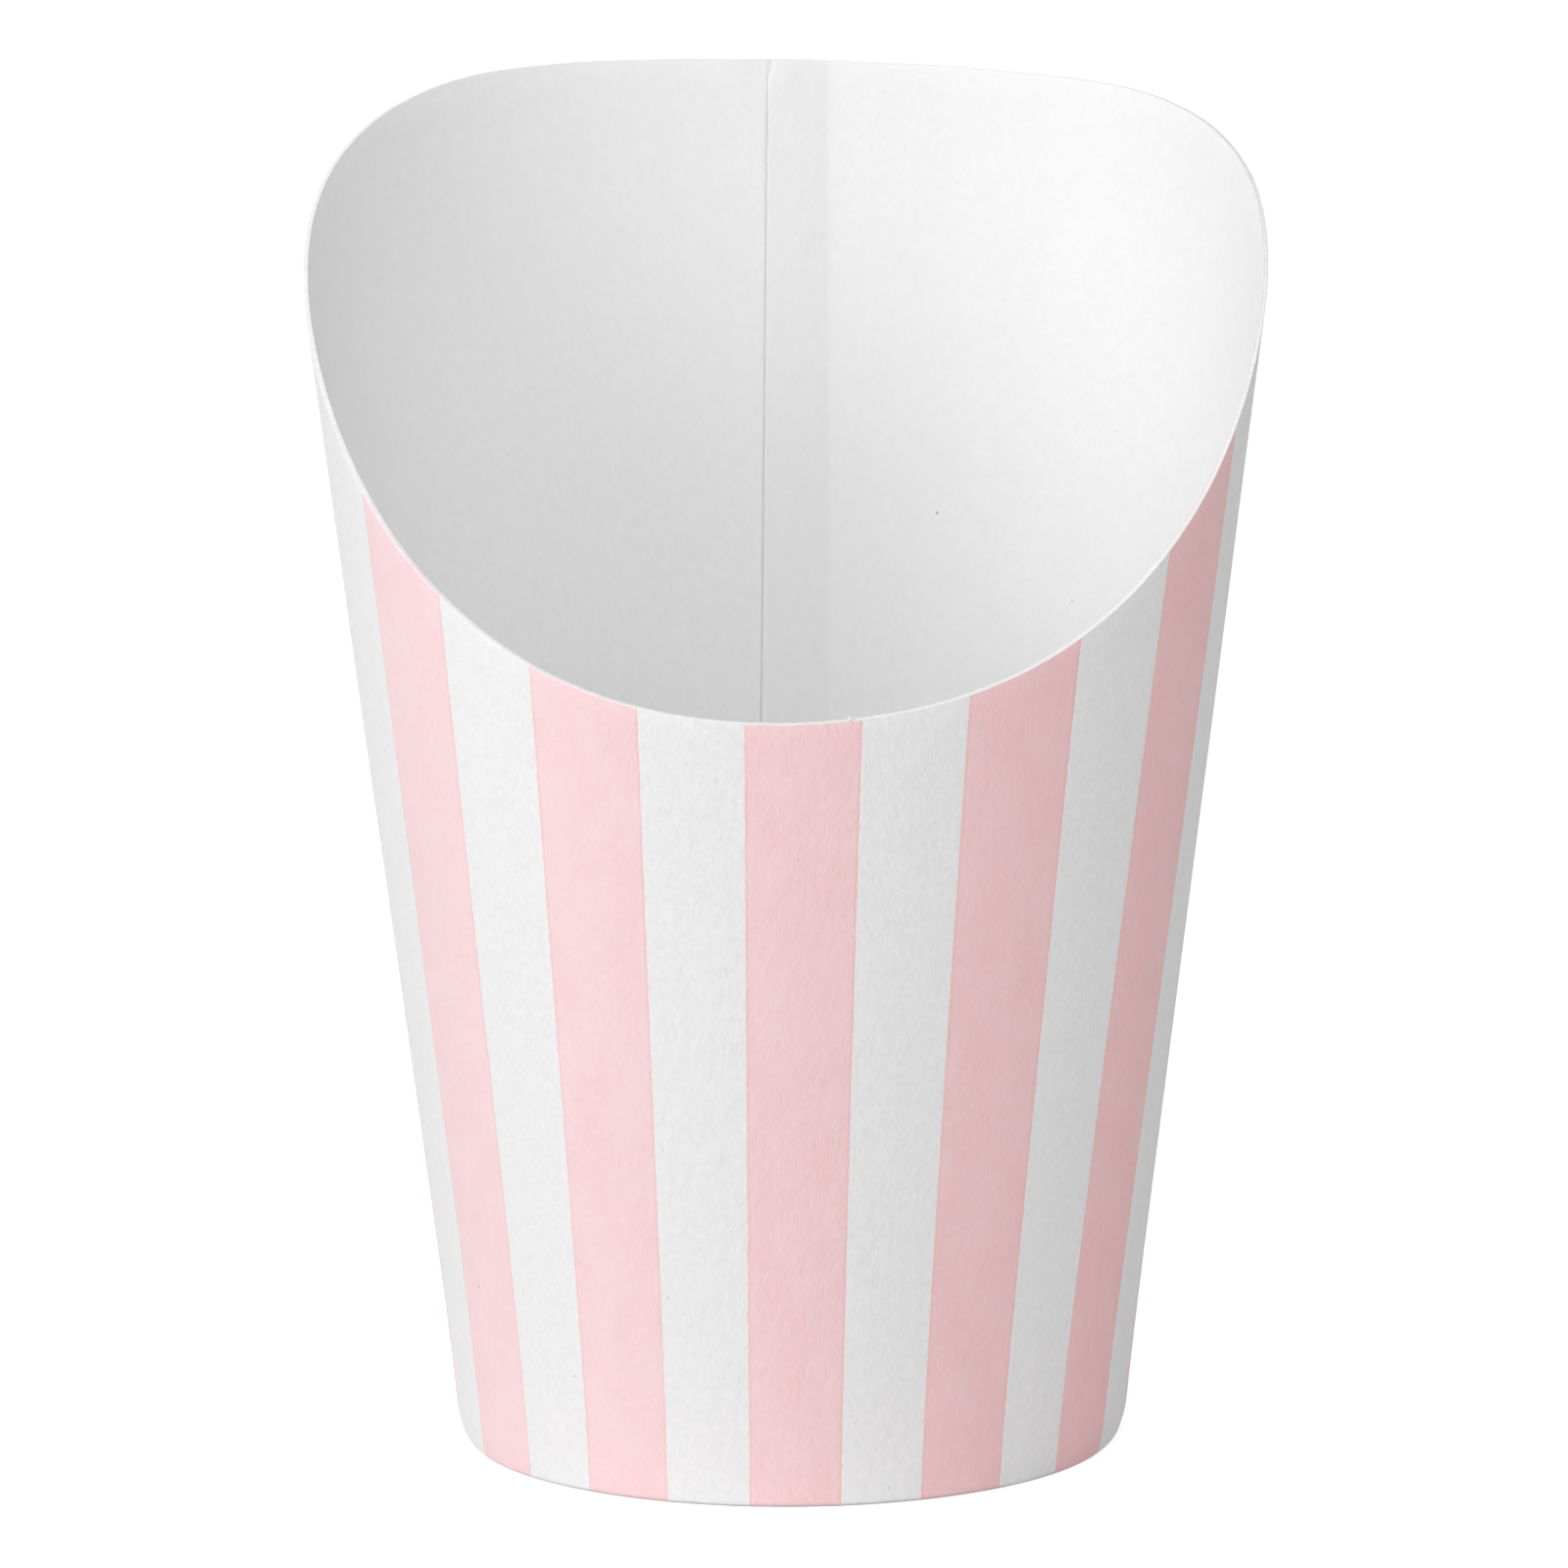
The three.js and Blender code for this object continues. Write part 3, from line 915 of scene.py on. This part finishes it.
LIT_RAW = (0.945, 0.945, 0.945, 1)  # the board's own pulp at the cut, made lighter than the faces: partly its own colour and partly painted light for the light the cut edge catches
LIT_RAW_LOW = (0.88, 0.88, 0.876, 1)
RAW_GLOSS = 0.2
INK_ON_CUT = 0.3  # the die drags a little ink over the edge, near the lip
INK_ON_CUT_TO = (2.3, 1.9)  # in stripes from the lip: none from here, and all of it from here


def edge_colour(tree):
    mottle = ramp(tree, grain(tree, 0.25, 0.25, 3.0, 41), 0.3, 0.7)
    # The pulp is made lighter than the board's faces, partly as painted light on the cut edge.
    lit_raw = blend(tree, mottle, LIT_RAW_LOW, LIT_RAW)
    from_lip = put(tree, "Math", operation="ABSOLUTE", _0=read(tree, "stripe")).outputs[0]
    run_over = ramp(tree, from_lip, *INK_ON_CUT_TO, 0, INK_ON_CUT)
    return blend(tree, times(tree, inked(tree, from_stripe(tree)), run_over), lit_raw, INK)


def edge_heights(tree):
    return ramp(tree, grain(tree, 0.08, 0.08, 2.0, 43), 0.3, 0.7, 0, 0.012, "LINEAR")


def edge_rough(tree):
    return ramp(tree, grain(tree, 0.2, 0.2, 2.0, 47), 0.3, 0.7, 0.7, 0.9, "LINEAR")


printed_board = board_finish("printed_board", printed_colour, printed_rough, BOARD_GLOSS, fibres)
inner_board = board_finish("inner_board", inner_colour, inner_rough, COATED_GLOSS, inner_heights)
cut_board = board_finish("cut_board", edge_colour, edge_rough, RAW_GLOSS, edge_heights)


def write_numbers(mesh, name, kind, values):
    """Keeps a number, or a place, with each point of the mesh for the finish to read."""
    field = "vector" if kind == "FLOAT_VECTOR" else "value"
    attribute = mesh.attributes.new(name, kind, "POINT")
    if kind == "FLOAT_VECTOR":
        values = [number for value in values for number in value]
    attribute.data.foreach_set(field, values)


SHARP_FROM = math.radians(50)  # an edge that turns more than this stays sharp
wall_points, wall_faces, wall_finishes, wall_blank, wall_numbers = side_wall()
sheet_finishes = [printed_board, inner_board, cut_board]
wall = mesh_piece("side_wall_sheet", wall_points, wall_faces, sheet_finishes, wall_finishes)
write_numbers(wall.data, "blank", "FLOAT_VECTOR", wall_blank)
for name, values in wall_numbers.items():
    write_numbers(wall.data, name, "FLOAT", values)
wall.data.shade_smooth()
wall.data.set_sharp_from_angle(angle=SHARP_FROM)
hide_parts("side_wall")
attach(wall, "root")


# Base
# One disc of plain white board with its rim turned down. It is pressed in from below, and the
# rim is held between the side wall and the hem.

BASE_BEND = 0.9
BASE_TOP = HEM_HEIGHT + SEAT_GAP + BASE_BEND
SKIRT_CLEAR = 0.05  # between the skirt's foot and the fold under it
SKIRT_FOOT = 2 * BOARD + SKIRT_CLEAR + SEAT_GAP
BASE_COLUMNS = 180
BASE_ROWS = 30
SKIRT_ROWS = 6
BASE_BEND_ROWS = 8
BASE_SAG = (0.35, 25)  # the middle is this much lower, from this radius in
PUNCH_RING = (0.12, 26.2, 0.7)  # how deep, its radius, half width
BASE_UNEVEN = (0.05, 9, 27)  # how much, over what length, and inside what radius
SKIRT_FADE = (2, 1.4)  # none of these from here down the skirt, and all of them this much higher
WELD_GAP = 0.00001  # metres


def base_points():
    """The disc cut through from its middle to the skirt's foot: its upper and its lower face."""
    cos = math.cos(LEAN)
    depth = (BOARD + SEAT_GAP) / cos
    corners = [
        Vector((0, BASE_TOP)),
        Vector((wall_radius(BASE_TOP) - depth, BASE_TOP)),
        Vector((wall_radius(SKIRT_FOOT) - depth, SKIRT_FOOT)),
    ]
    rows = [i / BASE_ROWS for i in range(1, BASE_ROWS)]
    skirt = [i / SKIRT_ROWS for i in range(1, SKIRT_ROWS)]
    inner_corners = offset_corners(corners, BOARD)
    outer = bent_face(corners, BASE_BEND, [rows, skirt], BASE_BEND_ROWS)
    inner = bent_face(inner_corners, BASE_BEND - BOARD, [rows, skirt], BASE_BEND_ROWS)
    return outer, inner[::-1]


def base_shape(radius, height, angle):
    """The punch leaves a low ring inside the bend, and the middle sags a little."""
    deep, ring_radius, half_width = PUNCH_RING
    ring = deep * math.exp(-(((radius - ring_radius) / half_width) ** 2))
    sag = BASE_SAG[0] * smooth(1 - radius / BASE_SAG[1])
    on_disc = smooth((height - BASE_TOP + SKIRT_FADE[0]) / SKIRT_FADE[1])
    turn = math.radians(angle)
    most, length, inside = BASE_UNEVEN
    place = (radius / length * math.sin(turn), radius / length * math.cos(turn), 5.5)
    uneven = most * noise.noise(place) * smooth(1 - radius / inside)
    return height + (uneven - ring - sag) * on_disc


def base_disc():
    """The cut turned round the cup's middle: points, faces, and places on the flat disc."""
    outer, inner = base_points()
    ring = outer + inner
    points, faces, blank = [], [], []
    run = [0]
    for a, b in zip(outer, outer[1:]):
        run.append(run[-1] + (b - a).length)
    run = run + run[::-1]
    for c in range(BASE_COLUMNS):
        angle = 360 * c / BASE_COLUMNS
        for i, (radius, height) in enumerate(ring):
            turn = math.radians(angle)
            points.append(on_cup(angle, radius, base_shape(radius, height, angle)))
            blank.append((run[i] * math.sin(turn) * MM, run[i] * math.cos(turn) * MM, 0))
    around = len(ring)
    for c in range(BASE_COLUMNS):
        beside = (c + 1) % BASE_COLUMNS
        for i in range(around - 1):
            a, b = c * around + i, beside * around + i
            faces.append((a, b, b + 1, a + 1))
    return points, faces, blank


def weld(piece, gap):
    """Joins the points that meet at the disc's middle, and turns every face outwards."""
    mesh = bmesh.new()
    mesh.from_mesh(piece.data)
    bmesh.ops.remove_doubles(mesh, verts=mesh.verts, dist=gap)
    bmesh.ops.recalc_face_normals(mesh, faces=mesh.faces)
    mesh.to_mesh(piece.data)
    mesh.free()


def base_colour(tree):
    mottle = ramp(tree, grain(tree, 0.6, 1.2, 3.0, 51), 0.3, 0.7)
    return blend(tree, mottle, WHITE_LOW, WHITE)


bare_board = board_finish("bare_board", base_colour, inner_rough, COATED_GLOSS, inner_heights)
disc_points, disc_faces, disc_blank = base_disc()
base = mesh_piece("base_board", disc_points, disc_faces, [bare_board])
write_numbers(base.data, "blank", "FLOAT_VECTOR", disc_blank)
weld(base, WELD_GAP)
base.data.shade_smooth()
base.data.set_sharp_from_angle(angle=SHARP_FROM)
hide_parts("base_disc")
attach(base, "root")
